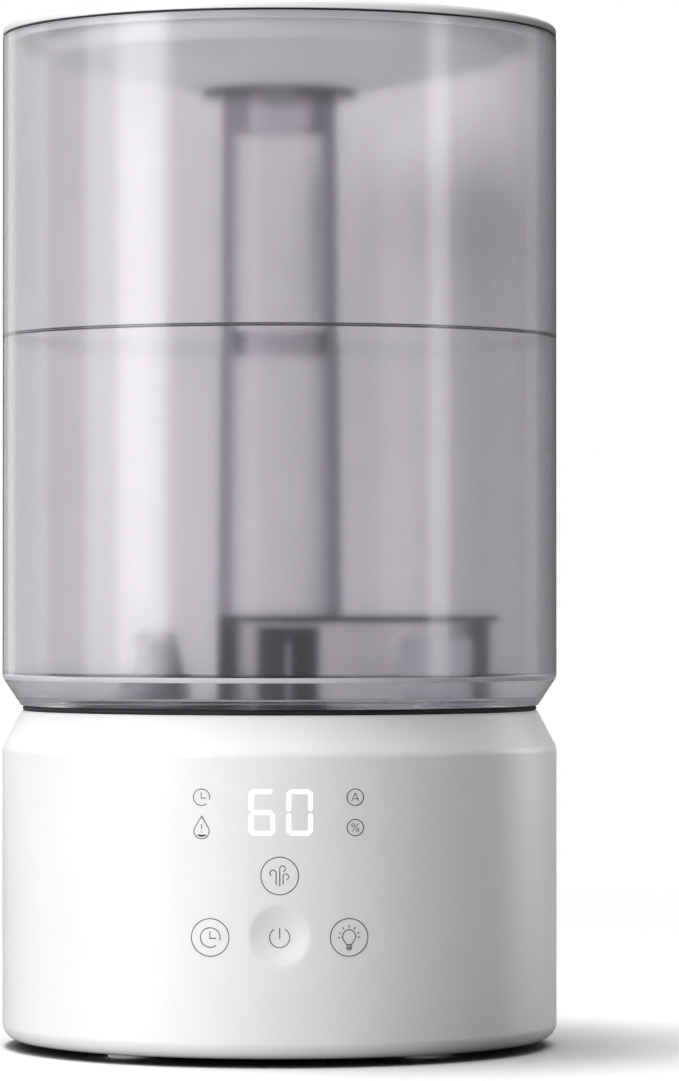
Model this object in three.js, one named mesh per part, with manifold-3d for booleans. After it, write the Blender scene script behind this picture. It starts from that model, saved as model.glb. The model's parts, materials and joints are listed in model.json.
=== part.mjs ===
// Cool mist humidifier: a white base, a smoke-clear water tank that lifts off it, and a dished
// lid with a turning mist nozzle. Millimetres, +Z up, origin on the standing plane at the axis.
// The front, with the display and the touch keys, faces -Y.
import * as THREE from "three";
import { mergeVertices } from "three/addons/utils/BufferGeometryUtils.js";
import Module from "manifold-3d";

const wasm = await Module();
wasm.setup();

// ---------------------------------------------------------------- driving dimensions
const bodyRadius = 82.5; // outside of tank and base
const neckRadius = 77; // where the two bevels meet
const baseBottom = 2.3; // underside of the housing, clear of the table
const baseTop = 99.7;
const tankBottom = baseTop + 1.6; // the black seat ring shows in this gap
const tankTop = 299.8;
const lidUnder = tankTop + 0.6; // the lid gasket fills this gap
const lidTop = 303;
const fillLine = 210.8; // top of the fixed chimney, and so the highest water level
const housingWall = 2.5;
const tankWall = 2.6;

const deckTop = 95; // water tray under the tank
const deckUnder = 92.5;
const sumpFloorTop = 76;
const sumpFloorUnder = 73.5;
const sumpRadius = 16.5;
const trayWall = 2.2;
const valveX = -37; // tank valve and the post that opens it
const floatX = -18;
const misterX = 2.4; // transducer and splash guide, under the chimney
const fanX = 46;

const chamberTop = 128; // raised chamber in the tank floor, over the air duct
const floorTop = tankBottom + 3;
const valveStroke = 2.5;
const boardTop = 19.6; // driver board in the bottom of the housing

const fine = 48; // sides of the large turned parts
const medium = 24;
const small = 12;

// ---------------------------------------------------------------- solids from three.js shapes
function toSolid(geometry) {
  const bare = geometry.index ? geometry.toNonIndexed() : geometry.clone();
  bare.deleteAttribute("normal");
  bare.deleteAttribute("uv");
  const merged = mergeVertices(bare, 1e-4);
  return new wasm.Manifold(
    new wasm.Mesh({
      numProp: 3,
      vertProperties: merged.attributes.position.array,
      triVerts: new Uint32Array(merged.index.array),
    }),
  );
}

function toGeometry(solid) {
  const mesh = solid.getMesh();
  const geometry = new THREE.BufferGeometry();
  geometry.setAttribute("position", new THREE.BufferAttribute(mesh.vertProperties, 3));
  geometry.setIndex(new THREE.BufferAttribute(mesh.triVerts, 1));
  return geometry;
}

// A profile of [radius, z] corners, anticlockwise, turned about the Z axis.
// It starts and ends on the axis, or is a ring's section that closes on itself.
function turned(profile, sides = fine) {
  const points = profile.map(([r, z]) => new THREE.Vector2(r, z));
  const onAxis = points[0].x === 0 && points.at(-1).x === 0;
  if (!onAxis) points.push(points[0].clone());
  return toSolid(new THREE.LatheGeometry(points, sides).rotateX(Math.PI / 2));
}

const ring = (inner, outer, low, high, sides = fine) =>
  turned([[inner, low], [outer, low], [outer, high], [inner, high]], sides);

function disc(x, y, radius, low, high, sides = medium) {
  const cylinder = new THREE.CylinderGeometry(radius, radius, high - low, sides);
  return toSolid(cylinder.rotateX(Math.PI / 2).translate(x, y, (low + high) / 2));
}

function block(x0, x1, y0, y1, z0, z1) {
  const box = new THREE.BoxGeometry(x1 - x0, y1 - y0, z1 - z0);
  return toSolid(box.translate((x0 + x1) / 2, (y0 + y1) / 2, (z0 + z1) / 2));
}

function plate(shape, low, high, curveSegments = 8) {
  const settings = { depth: high - low, bevelEnabled: false, curveSegments };
  return toSolid(new THREE.ExtrudeGeometry(shape, settings).translate(0, 0, low));
}

// Two half circles joined by straight sides, along X.
function capsule(xLeft, xRight, radius) {
  const shape = new THREE.Shape();
  shape.absarc(xRight, 0, radius, -Math.PI / 2, Math.PI / 2);
  shape.absarc(xLeft, 0, radius, Math.PI / 2, (3 * Math.PI) / 2);
  return shape;
}

function roundedRectangle(x0, x1, y0, y1, corner) {
  const shape = new THREE.Shape();
  shape.absarc(x1 - corner, y0 + corner, corner, -Math.PI / 2, 0);
  shape.absarc(x1 - corner, y1 - corner, corner, 0, Math.PI / 2);
  shape.absarc(x0 + corner, y1 - corner, corner, Math.PI / 2, Math.PI);
  shape.absarc(x0 + corner, y0 + corner, corner, Math.PI, (3 * Math.PI) / 2);
  return shape;
}

// Quarter-circle corner of a profile, as [radius, z] points.
function corner(centreR, centreZ, radius, fromDegrees, toDegrees, steps) {
  return Array.from({ length: steps + 1 }, (_, i) => {
    const angle = THREE.MathUtils.degToRad(fromDegrees + ((toDegrees - fromDegrees) * i) / steps);
    return [centreR + radius * Math.cos(angle), centreZ + radius * Math.sin(angle)];
  });
}

class Helix extends THREE.Curve {
  constructor(radius, length, turns) {
    super();
    Object.assign(this, { radius, length, turns });
  }
  getPoint(t) {
    const angle = 2 * Math.PI * this.turns * t;
    return new THREE.Vector3(
      this.radius * Math.cos(angle),
      this.radius * Math.sin(angle),
      this.length * t,
    );
  }
}

// A round wire along a curve, with closed ends.
function wire(curve, radius, steps, sides = 6) {
  const section = new THREE.Shape();
  for (let i = 0; i < sides; i++) {
    const angle = (2 * Math.PI * i) / sides;
    const place = [radius * Math.cos(angle), radius * Math.sin(angle)];
    if (i) section.lineTo(...place);
    else section.moveTo(...place);
  }
  section.closePath();
  return toSolid(
    new THREE.ExtrudeGeometry(section, { steps, extrudePath: curve, bevelEnabled: false }),
  );
}

const cable = (points, radius) =>
  wire(new THREE.CatmullRomCurve3(points.map((p) => new THREE.Vector3(...p))), radius, 12);

// Evenly spaced turns of a solid about the Z axis.
const around = (count, solid, startDegrees = 0) =>
  Array.from({ length: count }, (_, i) => solid.rotate([0, 0, startDegrees + (360 * i) / count]));

// ---------------------------------------------------------------- materials
const finish = (color, roughness, metalness = 0, more = {}) =>
  new THREE.MeshStandardMaterial({ color, roughness, metalness, ...more });

const whitePlastic = finish(0xf4f4f5, 0.42);
const trayPlastic = finish(0xeceded, 0.45);
const smokePlastic = finish(0xb4b0ba, 0.08, 0, { transparent: true, opacity: 0.4 });
const darkPlastic = finish(0x3a3a40, 0.5);
const blackSilicone = finish(0x17171a, 0.7);
const clearSilicone = finish(0xd9dadc, 0.6);
const lensPlastic = finish(0xf2f2ee, 0.3, 0, { transparent: true, opacity: 0.7 });
const boardGreen = finish(0x1f5b3a, 0.5);
const steel = finish(0xc3c5c8, 0.3, 1);
const aluminium = finish(0xb9bcc0, 0.4, 1);
const copper = finish(0xb06a3b, 0.35, 1);
const cableJacket = finish(0x2b2b2e, 0.55);

// ---------------------------------------------------------------- base
const screwPlaces = [[21.2, 58.3], [-21.2, 58.3], [-21.2, -58.3], [21.2, -58.3]];
const footPlaces = [[43, -43], [43, 43], [-43, 43], [-43, -43]];
const boardCorners = [[-54, -30], [8, -30], [8, 30], [-54, 30]];
const keyHeight = 37.2; // power, timer and light keys
const mistKeyHeight = 54.6;
const sideKeyX = 19.7;
const displayHeight = 72.4;
const jackHeight = 19.5;

function baseHousing() {
  const cornerRadius = 6;
  const inside = bodyRadius - housingWall;
  const cornerR = bodyRadius - cornerRadius;
  const cornerZ = baseBottom + cornerRadius;
  const shell = turned([
    [72, baseBottom],
    ...corner(cornerR, cornerZ, cornerRadius, -90, 0, 4),
    [bodyRadius, 88.2],
    [bodyRadius - 0.5, 89.8],
    [neckRadius + 0.2, baseTop - 0.5],
    [neckRadius - 0.5, baseTop],
    [75.9, baseTop],
    [75.9, 98.6], // step that the rim of the water tray is held down on
    [74.2, 98.6],
    [74.2, 96.2],
    [inside, 86],
    [inside, 9.6],
    [77.5, 7.3],
    [68, 7.3], // inner flange, over the edge of the bottom cover
    [68, 5.1],
    [72, 5.1],
  ]);
  // Shallow finger dish of the power key, on the front.
  const dishRadius = 29;
  const dishDepth = 1.3;
  const dish = toSolid(
    new THREE.SphereGeometry(dishRadius, 40, 28)
      .scale(1.13, 1, 1)
      .translate(0, -(bodyRadius - dishDepth + dishRadius), keyHeight),
  );
  const jackHole = toSolid(
    new THREE.CylinderGeometry(5.3, 5.3, 12, 20).translate(0, bodyRadius - 3, jackHeight),
  );
  let housing = shell.subtract(dish).subtract(jackHole);
  for (let row = 0; row < 5; row++) {
    const z = 51 + row * 3.4; // air slots of the humidity sensor, on the back
    housing = housing.subtract(block(-30, -18, 70, 90, z, z + 1.4));
  }
  return housing;
}

function waterTray() {
  const wellLeft = capsule(valveX, misterX, sumpRadius);
  const wellOuter = capsule(valveX, misterX, sumpRadius + trayWall);
  let tray = disc(0, 0, 73.9, deckUnder, deckTop, fine)
    .add(turned([[71.4, deckUnder], [73.9, deckUnder], [73.9, 98.9], [75.6, 98.9],
      [75.6, baseTop], [71.4, baseTop]]))
    .add(plate(wellOuter, sumpFloorUnder, deckUnder + 0.5, 12))
    .subtract(plate(wellLeft, sumpFloorTop, deckTop + 1, 12))
    .add(disc(valveX, 0, 3, sumpFloorTop - 0.5, 97.5, small))
    .add(disc(floatX, 0, 1.8, sumpFloorTop - 0.5, 99, small));
  for (const angle of clampAngles) {
    const [x, y] = clampPlace(angle);
    tray = tray
      .add(disc(x, y, 3, 70.4, sumpFloorUnder + 0.5, small))
      .subtract(disc(x, y, 1.35, 70, 73, 12));
  }
  tray = tray.subtract(disc(misterX, 0, 8.8, 73, 77, medium));
  tray = tray
    .subtract(block(38, 55, -13, 13, deckUnder - 1, deckTop + 1))
    .subtract(disc(0, 50, 5.2, 90, 97, 24));
  for (const [x, y] of screwPlaces)
    tray = tray
      .add(disc(x, y, 4, 14, deckUnder + 0.5, small))
      .subtract(disc(x, y, 1.75, 13, 26, 12));
  return tray;
}

// Tower over the fan, with a roof against drips and a window towards the mist.
const airDuct = () =>
  block(36, 57, -15, 15, deckTop + 0.3, 121)
    .add(block(33, 60, -18, 18, deckTop + 0.3, 97.3))
    .subtract(block(38, 55, -13, 13, deckTop, 119))
    .subtract(block(35, 39, -10, 10, 106, 117));

const clampAngles = [90, 210, 330];
function clampPlace(degrees) {
  const angle = THREE.MathUtils.degToRad(degrees);
  return [misterX + 17.2 * Math.cos(angle), 17.2 * Math.sin(angle)];
}

function bottomCover() {
  let cover = disc(0, 0, 71.6, 2.5, 4.8, fine);
  for (const [x, y] of screwPlaces)
    cover = cover
      .add(disc(x, y, 5.2, 4, 13.8, small))
      .subtract(disc(x, y, 3.6, 2, 5.2, small))
      .subtract(disc(x, y, 1.8, 5, 14, 12));
  for (const [x, y] of boardCorners)
    cover = cover.add(disc(x, y, 3, 4.5, boardTop - 1.6, 12)).subtract(disc(x, y, 1.2, 10, 19, 8));
  for (let i = -3; i <= 3; i++) {
    const halfLength = Math.sqrt(18 ** 2 - (i * 4.6) ** 2);
    cover = cover.subtract(
      block(fanX - halfLength, fanX + halfLength, i * 4.6 - 1.2, i * 4.6 + 1.2, 2, 6),
    );
  }
  return cover;
}

const footPad = () =>
  turned([[0, 0], [6.4, 0], [7, 0.6], [7, 2.4], [0, 2.4]], 24);

const longScrew = () =>
  turned([[0, 2.9], [3, 2.9], [3, 5], [1.5, 5], [1.5, 22.8], [0, 22.8]], 12);

const boardScrew = () =>
  turned([[0, 12], [0.9, 12], [0.9, 19.7], [2.4, 19.7], [2.4, 21.2], [0, 21.2]], 10);

const clampScrew = () =>
  turned([[0, 66.5], [2.3, 66.5], [2.3, 68.1], [1.1, 68.1], [1.1, 72.7], [0, 72.7]], 10);

// The tank rests on this ring, which shows as a dark line between tank and base.
const seatRing = () =>
  turned([[72.4, baseTop], [76.2, baseTop], [76.5, 100.4], [76.2, 101.2], [72.4, 101.2]]);

function splashGuide() {
  let guide = turned(
    [[9.2, 76.1], [12.8, 76.1], [12.8, 77.6], [10.7, 77.6], [8.3, 86],
      [8.3, 122.6], [6.8, 122.6], [6.8, 86], [9.2, 77.6]], 24);
  for (const slot of around(3, block(5, 14, -3, 3, 78.6, 87), 30)) guide = guide.subtract(slot);
  return guide;
}

const transducerDisc = () => disc(0, 0, 10.2, 71.35, 72.55, 24);

const transducerSeal = () =>
  turned([[8.8, 70.4], [13.2, 70.4], [13.2, 73.3], [8.8, 73.3], [8.8, 72.7],
    [10.5, 72.7], [10.5, 71.2], [8.8, 71.2]], 24);

function clampRing() {
  let clamp = ring(8, 21, 68.2, 70.2, medium);
  for (const angle of clampAngles) {
    const [x, y] = clampPlace(angle);
    clamp = clamp.subtract(disc(x - misterX, y, 1.4, 67, 72, 12));
  }
  return clamp;
}

function driverBoard() {
  let board = block(-58, 12, -34, 34, boardTop - 1.5, boardTop)
    .add(block(-2, 6, -27, -17, boardTop - 0.1, 25)) // plugs of the leads
    .add(block(-24, -12, -33, -27, boardTop - 0.1, 25))
    .add(block(-26, -12, 24, 31, boardTop - 0.1, 25));
  for (const [x, y] of boardCorners) board = board.subtract(disc(x, y, 1.5, 17, 21, 10));
  return board;
}

function heatSink() {
  let sink = block(-50, -28, -24, -4, boardTop + 0.1, 23);
  for (let fin = 0; fin < 6; fin++) {
    const x = -50 + fin * 4.1;
    sink = sink.add(block(x, x + 1.5, -24, -4, 22.5, 40));
  }
  return sink;
}

const inductor = () => ring(3.5, 9, boardTop + 0.1, 28, 20);
const capacitor = () => disc(0, 0, 5, boardTop + 0.1, 36, small);

const displayBoard = () => block(-29, 29, -69.5, -67.9, 24, 86);

// Two-digit light block with seven light wells a digit.
function digitDisplay() {
  let module = block(-12.5, 12.5, -77.8, -69.6, displayHeight - 9, displayHeight + 9);
  for (const x of [-5.4, 5.4]) {
    for (const z of [-6, 0, 6])
      module = module.subtract(block(x - 2.4, x + 2.4, -79, -72, displayHeight + z - 0.6, displayHeight + z + 0.6));
    for (const [side, z] of [[-1, -3], [-1, 3], [1, -3], [1, 3]]) {
      const wellX = x + side * 3.2;
      module = module.subtract(
        block(wellX - 0.6, wellX + 0.6, -79, -72, displayHeight + z - 2.1, displayHeight + z + 2.1),
      );
    }
  }
  return module;
}

function indicatorShroud(side) {
  const [x0, x1] = side < 0 ? [-26, -18] : [18, 26];
  let shroud = block(x0, x1, -74.6, -69.6, 63.5, 81.5);
  for (const z of [68, 77]) shroud = shroud.subtract(block(x0 + 1.2, x1 - 1.2, -76, -70.5, z - 3, z + 3));
  return shroud;
}

const touchSpring = (length) => wire(new Helix(3, length, 3), 0.35, 24, 4);

function fanFrame() {
  let frame = block(-20, 20, -20, 20, 71, 91).subtract(disc(0, 0, 18.9, 70, 92, medium));
  frame = frame.add(disc(0, 0, 9.5, 71, 72.8, 20));
  for (const spoke of around(3, block(8, 19.5, -1.2, 1.2, 71, 72.8))) frame = frame.add(spoke);
  for (const hole of around(4, disc(16.6, 16.6, 1.7, 70, 92, 10))) frame = frame.subtract(hole);
  return frame;
}

function fanRotor() {
  const pitch = THREE.MathUtils.degToRad(38);
  const blade = toSolid(
    new THREE.BoxGeometry(10, 1.1, 15).rotateX(pitch).translate(13, 0, 81),
  );
  let rotor = disc(0, 0, 9.5, 73.3, 88.8, 20);
  for (const turnedBlade of around(7, blade)) rotor = rotor.add(turnedBlade);
  return rotor;
}

const fanSeal = () => block(27, 65, -19, 19, 91.1, 92.4).subtract(block(38, 55, -13, 13, 90, 93));

function dcJack() {
  const along = (radius, from, to, sides) =>
    toSolid(new THREE.CylinderGeometry(radius, radius, to - from, sides)
      .translate(0, (from + to) / 2, jackHeight));
  return block(-4.5, 4.5, 67, 79.4, 14, 25)
    .add(along(4.9, 79, 82, 20))
    .subtract(along(2.75, 72, 83, 16))
    .add(along(1, 71.5, 81.5, 10));
}

const humiditySensor = () =>
  block(-30, -18, 72, 73.5, 48, 68).add(block(-27, -21, 73.4, 75, 56, 62));

const levelSensor = () =>
  block(floatX - 6, floatX + 6, -20.8, -19.4, 76, 90)
    .add(disc(floatX, -21.8, 1.1, 78, 88, 10));

const nightLightBoard = () =>
  block(-11, 11, 44, 56, 86, 87.5).add(disc(0, 50, 1.8, 87.4, 88.4, 12));

const nightLightLens = () =>
  turned([[0, 89], [4.9, 89], [4.9, 95.1], [7.5, 95.1], [7.5, 95.8], [6.9, 96.3], [0, 96.3]], 24);

function floatBody() {
  return ring(2.2, 6.5, 76.3, 90.3, 24).subtract(ring(2.9, 5.1, 87.2, 91, 24));
}
const floatMagnet = () => ring(3.1, 4.9, 87.4, 90, 20);
const floatCap = () => ring(1.95, 3.6, 97.6, 98.9, small);

// ---------------------------------------------------------------- tank
// The wall and bevel, with a shallow groove inside at the highest water level.
const tankShell = () =>
  turned([
    [71.2, tankBottom],
    [neckRadius, tankBottom],
    [bodyRadius - 0.3, 109.4],
    [bodyRadius, 110.4],
    [bodyRadius, tankTop],
    [bodyRadius - tankWall, tankTop],
    [bodyRadius - tankWall, fillLine + 0.4],
    [bodyRadius - tankWall + 0.4, fillLine],
    [bodyRadius - tankWall, fillLine - 0.4],
    [bodyRadius - tankWall, 110.8],
    [75.8, floorTop],
    [71.2, floorTop],
  ]);

// The floor, its raised chamber and the fixed lower chimney are one moulding.
function tankFloor() {
  const chimney = turned([[0, 126], [18.6, 126], [18.6, chamberTop], [17.7, fillLine], [0, fillLine]], medium);
  const chamber = roundedRectangle(-18.6, 62, -30, 30, 15);
  const lip = roundedRectangle(-18.6, 64.3, -31.8, 31.8, 16);
  const hollow = roundedRectangle(-16.1, 59.5, -27.5, 27.5, 12.5);
  return disc(0, 0, 71, tankBottom, floorTop, fine)
    .add(ring(68.8, 70.8, 98.3, tankBottom + 0.5))
    .add(plate(chamber, tankBottom + 0.5, chamberTop - 0.5))
    .add(plate(lip, 126, chamberTop))
    .add(chimney)
    .subtract(plate(hollow, 97, 125.7))
    .subtract(disc(0, 0, 14.6, 120, fillLine + 1, medium))
    .subtract(disc(0, 0, 14.9, 205, fillLine + 1, medium))
    .subtract(disc(valveX, 0, 9, 100, 106, medium));
}

// Screw-in valve cap: collar and windowed dome over the spring.
function valveBody() {
  const outside = turned(
    [[0, 99], [8.6, 99], [8.6, 104.5], [10.7, 104.5], [10.7, 108.2], [9.2, 109.2],
      [6, 121.8], [5, 122.8], [0, 122.8]], 20);
  const inside = turned(
    [[0, 98], [5.4, 98], [5.4, 102], [7.4, 102.8], [7.4, 108.8], [4.7, 120.8], [0, 120.8]], 20);
  let body = outside.subtract(inside);
  for (const window of around(4, block(3, 12, -1.8, 1.8, 110.5, 118), 45)) body = body.subtract(window);
  return body;
}

const valvePlunger = () =>
  turned([[0, 97.8], [1.6, 97.8], [1.6, 106.9], [6.7, 106.9], [6.7, 108.3],
    [1.6, 108.3], [1.6, 119.5], [0, 119.5]], 20);
const valveWasher = () => ring(1.8, 6.6, 105.4, 106.8, 20);
const valveSpring = () => wire(new Helix(3.3, 10.8, 5), 0.4, 50, 5);

// ---------------------------------------------------------------- lid
const hubOuter = 17.4;
function lidDish() {
  const edgeRadius = 1.4;
  let lid = turned([
    [bodyRadius, lidUnder],
    ...corner(bodyRadius - edgeRadius, lidTop - edgeRadius, edgeRadius, 0, 90, 3),
    [69.4, lidTop],
    [68.3, 302.2],
    [67.6, 296.6], // foot of the dish wall
    [19.6, 287],
    [hubOuter, 287.4],
    [hubOuter, 296.4],
    [hubOuter - 0.6, 297],
    [15.3, 297],
    [15.3, 284.3],
    [23.5, 284.3], // underside of the funnel
    [70.2, 293.8],
    [70.2, 299.4],
    [71.2, lidUnder],
    [77.4, lidUnder],
    [77.4, 297.8], // lip that centres the lid in the tank
    [79.3, 297.8],
    [79.3, lidUnder],
  ]);
  for (const slot of around(4, block(20.2, 22.4, -4, 4, 280, 296), 45)) lid = lid.subtract(slot); // drip drains
  return lid;
}

const lidGasket = () => ring(80, 82.2, tankTop + 0.05, lidUnder - 0.05);

// Collar under the hub: snaps into it and carries the mist tube.
const nozzleCollar = () =>
  turned([[11.5, 271.6], [13.3, 271.6], [13.3, 282], [22.4, 282], [23.2, 282.6], [23.2, 284],
    [15, 284], [15, 289], [13, 289], [13, 284], [11.5, 282]], medium);

const mistTube = () =>
  turned([[12.4, 205.2], [14.3, 205.2], [14.3, 211.2], [17.4, 211.2], [17, 281.8],
    [13.6, 281.8], [13.6, 212.4], [12.4, 211.2]], medium);

function nozzleCap() {
  const outside = turned(
    [[0, 288.6], [20.5, 288.6], ...corner(18.3, 303.2, 2.2, 0, 90, 2), [0, 305.4]], 28);
  const inside = turned(
    [[0, 288], [18.1, 288], [18.1, 297.3], [15.3, 297.3], [15.3, 302], [0, 302]], 28);
  const mouth = plate(roundedRectangle(-9.5, 9.5, -14.5, -5.5, 4), 300, 307, 5);
  return outside.subtract(inside).subtract(mouth);
}

// ---------------------------------------------------------------- assembly
const humidifier = new THREE.Group();
const base = new THREE.Group();
const tank = new THREE.Group();
const lid = new THREE.Group();
humidifier.add(base, tank, lid);

function add(group, name, solid, material, [x, y, z] = [0, 0, 0]) {
  const mesh = new THREE.Mesh(toGeometry(solid), material);
  mesh.name = name;
  mesh.position.set(x, y, z);
  group.add(mesh);
  return mesh;
}

add(base, "base_housing", baseHousing(), whitePlastic);
add(base, "water_tray", waterTray(), trayPlastic);
add(base, "air_duct", airDuct(), trayPlastic);
add(base, "bottom_cover", bottomCover(), whitePlastic);
add(base, "tank_seat_ring", seatRing(), blackSilicone);
footPlaces.forEach(([x, y], i) => add(base, `foot_${i + 1}`, footPad(), clearSilicone, [x, y, 0]));
screwPlaces.forEach(([x, y], i) => add(base, `housing_screw_${i + 1}`, longScrew(), steel, [x, y, 0]));

add(base, "splash_guide", splashGuide(), darkPlastic, [misterX, 0, 0]);
add(base, "transducer_disc", transducerDisc(), steel, [misterX, 0, 0]);
add(base, "transducer_seal", transducerSeal(), blackSilicone, [misterX, 0, 0]);
add(base, "transducer_clamp", clampRing(), aluminium, [misterX, 0, 0]);
clampAngles.forEach((angle, i) =>
  add(base, `clamp_screw_${i + 1}`, clampScrew(), steel, [...clampPlace(angle), 0]));

add(base, "driver_board", driverBoard(), boardGreen);
[boardCorners[0], boardCorners[2]].forEach(([x, y], i) =>
  add(base, `board_screw_${i + 1}`, boardScrew(), steel, [x, y, 0]));
add(base, "heat_sink", heatSink(), aluminium);
add(base, "inductor", inductor(), copper, [-12, 6, 0]);
add(base, "capacitor", capacitor(), cableJacket, [-15, -18, 0]);

add(base, "display_board", displayBoard(), boardGreen);
add(base, "digit_display", digitDisplay(), darkPlastic);
add(base, "indicator_shroud_left", indicatorShroud(-1), darkPlastic);
add(base, "indicator_shroud_right", indicatorShroud(1), darkPlastic);
const keys = [
  ["mist", 0, mistKeyHeight, 8.8],
  ["power", 0, keyHeight, 8.8],
  ["timer", -sideKeyX, keyHeight, 5.6],
  ["light", sideKeyX, keyHeight, 5.6],
];
for (const [key, x, z, length] of keys) {
  const spring = add(base, `touch_spring_${key}`, touchSpring(length), copper, [x, -70.2, z]);
  spring.rotation.x = Math.PI / 2; // reaches forwards to the inside of the housing
}

const fan = new THREE.Group();
fan.position.set(fanX, 0, 0);
base.add(fan);
add(fan, "fan_frame", fanFrame(), darkPlastic);
add(fan, "fan_rotor", fanRotor(), darkPlastic);
add(base, "fan_seal", fanSeal(), blackSilicone);
add(base, "dc_jack", dcJack(), darkPlastic);
add(base, "humidity_sensor", humiditySensor(), boardGreen);
add(base, "level_sensor", levelSensor(), boardGreen);
add(base, "night_light_board", nightLightBoard(), boardGreen);
add(base, "night_light_lens", nightLightLens(), lensPlastic, [0, 50, 0]);
add(base, "float", floatBody(), whitePlastic, [floatX, 0, 0]);
add(base, "float_magnet", floatMagnet(), steel, [floatX, 0, 0]);
add(base, "float_cap", floatCap(), whitePlastic, [floatX, 0, 0]);

add(base, "fan_lead", cable([[30, -21.5, 74], [25, -28, 60], [12, -32, 38], [3, -24, 26.8]], 1.1), cableJacket);
add(base, "transducer_lead", cable([[2.4, 0, 70.6], [3, 3, 56], [3, -4, 40], [2, -20, 26.8]], 1.1), cableJacket);
add(base, "display_lead", cable([[-6, -66.5, 34], [-10, -56, 26], [-16, -42, 27], [-18, -30, 26.8]], 1.1), cableJacket);
add(base, "jack_lead", cable([[0, 65.6, 19], [-3, 56, 18], [-9, 44, 24], [-15, 30, 26.8]], 1.1), cableJacket);

add(tank, "tank_shell", tankShell(), smokePlastic);
add(tank, "tank_floor", tankFloor(), smokePlastic);
const valve = new THREE.Group();
valve.position.set(valveX, 0, 0);
tank.add(valve);
add(valve, "valve_body", valveBody(), smokePlastic);
add(valve, "valve_plunger", valvePlunger(), whitePlastic);
add(valve, "valve_washer", valveWasher(), blackSilicone);
add(valve, "valve_spring", valveSpring(), steel, [0, 0, 109]);

add(lid, "lid_dish", lidDish(), whitePlastic);
add(lid, "lid_gasket", lidGasket(), blackSilicone);
add(lid, "nozzle_collar", nozzleCollar(), smokePlastic);
add(lid, "mist_tube", mistTube(), smokePlastic);
add(lid, "nozzle_cap", nozzleCap(), whitePlastic);

export default humidifier;
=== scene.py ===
import json
import math

import bmesh
import bpy
from mathutils import Matrix, Vector

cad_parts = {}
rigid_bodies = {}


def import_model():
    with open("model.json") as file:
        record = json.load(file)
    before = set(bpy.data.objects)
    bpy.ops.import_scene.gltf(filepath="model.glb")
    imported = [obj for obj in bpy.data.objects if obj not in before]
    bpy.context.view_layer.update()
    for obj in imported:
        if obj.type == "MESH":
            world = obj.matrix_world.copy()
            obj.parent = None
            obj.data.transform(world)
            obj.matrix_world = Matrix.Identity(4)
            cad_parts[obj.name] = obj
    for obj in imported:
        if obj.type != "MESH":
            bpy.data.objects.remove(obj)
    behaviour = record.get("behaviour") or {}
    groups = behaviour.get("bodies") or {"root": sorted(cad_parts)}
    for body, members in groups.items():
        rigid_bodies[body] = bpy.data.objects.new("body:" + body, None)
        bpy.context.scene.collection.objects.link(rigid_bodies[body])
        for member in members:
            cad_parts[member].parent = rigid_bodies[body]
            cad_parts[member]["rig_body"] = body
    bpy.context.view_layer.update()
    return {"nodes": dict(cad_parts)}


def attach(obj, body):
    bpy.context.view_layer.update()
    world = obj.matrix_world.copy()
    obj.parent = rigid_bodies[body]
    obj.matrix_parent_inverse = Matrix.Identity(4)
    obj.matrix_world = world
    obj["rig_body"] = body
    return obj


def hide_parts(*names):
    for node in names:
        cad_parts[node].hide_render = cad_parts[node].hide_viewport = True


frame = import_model()
nodes = frame["nodes"]

mm = 0.001
fullTurn = 2 * math.pi
weld = {"turned": 1e-6, "cut": 2e-6, "packed": 5e-6}  # metres between points that are merged
print("frame loaded:", len(nodes), "pieces")


# mesh helpers; all sizes handed to them are in millimetres

def meshToObject(bm, name):
    mesh = bpy.data.meshes.new(name)
    bm.to_mesh(mesh)
    bm.free()
    thing = bpy.data.objects.new(name, mesh)
    bpy.context.scene.collection.objects.link(thing)
    return thing


def moveMesh(bm, x=0, y=0, z=0, points=None):
    bmesh.ops.translate(bm, verts=points or bm.verts, vec=(x * mm, y * mm, z * mm))


def turnMesh(bm, degrees, axis):
    turn = Matrix.Rotation(math.radians(degrees), 3, axis)
    bmesh.ops.rotate(bm, verts=bm.verts, cent=(0, 0, 0), matrix=turn)


def newPoints(made):
    # the points that an extrude has made
    return [g for g in made["geom"] if isinstance(g, bmesh.types.BMVert)]


def tidyMesh(bm):
    bmesh.ops.remove_doubles(bm, verts=bm.verts, dist=weld["turned"])
    bmesh.ops.dissolve_degenerate(bm, edges=bm.edges, dist=weld["turned"])
    bmesh.ops.recalc_face_normals(bm, faces=bm.faces)


def smoothByAngle(bm, degrees=32):
    limit = math.radians(degrees)
    for face in bm.faces:
        face.smooth = True
    for edge in bm.edges:
        edge.smooth = len(edge.link_faces) == 2 and edge.calc_face_angle(0) < limit


def roundCorners(bm, corners, rounding, segments):
    bmesh.ops.bevel(bm, geom=corners, offset=rounding * mm, offset_type="OFFSET", affect="VERTICES",
                    segments=segments, profile=0.5, material=-1, clamp_overlap=True)


def roundEdges(bm, edges, rounding, segments):
    bmesh.ops.bevel(bm, geom=edges, offset=rounding * mm, offset_type="OFFSET", affect="EDGES",
                    segments=segments, profile=0.5, material=-1, clamp_overlap=True)


def wireProfile(points, closed=True):
    # points are (radius, height) or (radius, height, rounding)
    bm = bmesh.new()
    made = [bm.verts.new((p[0] * mm, 0, p[1] * mm)) for p in points]
    for a, b in zip(made, made[1:]):
        bm.edges.new((a, b))
    if closed:
        bm.edges.new((made[-1], made[0]))
    byRounding = {}
    for vert, p in zip(made, points):
        if len(p) == 3:
            byRounding.setdefault(p[2], []).append(vert)
    for rounding, corners in byRounding.items():
        roundCorners(bm, corners, rounding, 5)
    return bm


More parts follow.
